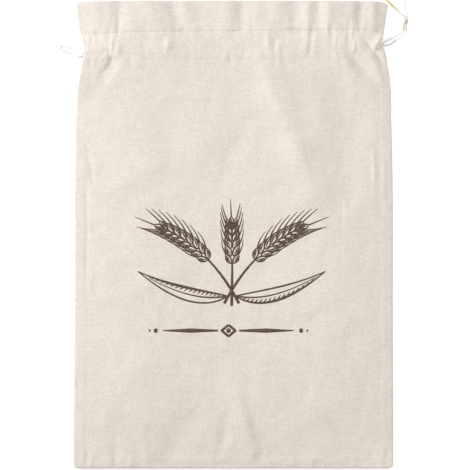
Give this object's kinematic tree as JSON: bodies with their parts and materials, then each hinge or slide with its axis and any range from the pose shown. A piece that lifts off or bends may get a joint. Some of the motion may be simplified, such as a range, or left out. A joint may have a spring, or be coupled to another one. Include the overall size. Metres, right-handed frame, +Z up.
{
  "type": "linen bread bag",
  "caption": "Linen drawstring bag for bread, lying on its back, with a gathered hem at the mouth, a cord loop at one side and a knot at the other.",
  "frame": {"origin": "on the surface the bag lies on, under the middle of the bag without its drawstring", "axes": "+X across the bag, +Y from its bottom towards its mouth, +Z up from the back panel to the front panel"},
  "size_m": [0.3303, 0.4585, 0.016],
  "materials": {
    "linen": "matte plain weave with small slubs",
    "cord": "soft matte twisted cotton"
  },
  "bodies": {
    "root": {"front_panel": "linen", "back_panel": "linen", "drawstring": "cord", "knot": "cord", "tail_near": "cord", "tail_far": "cord"}
  },
  "joints": []
}
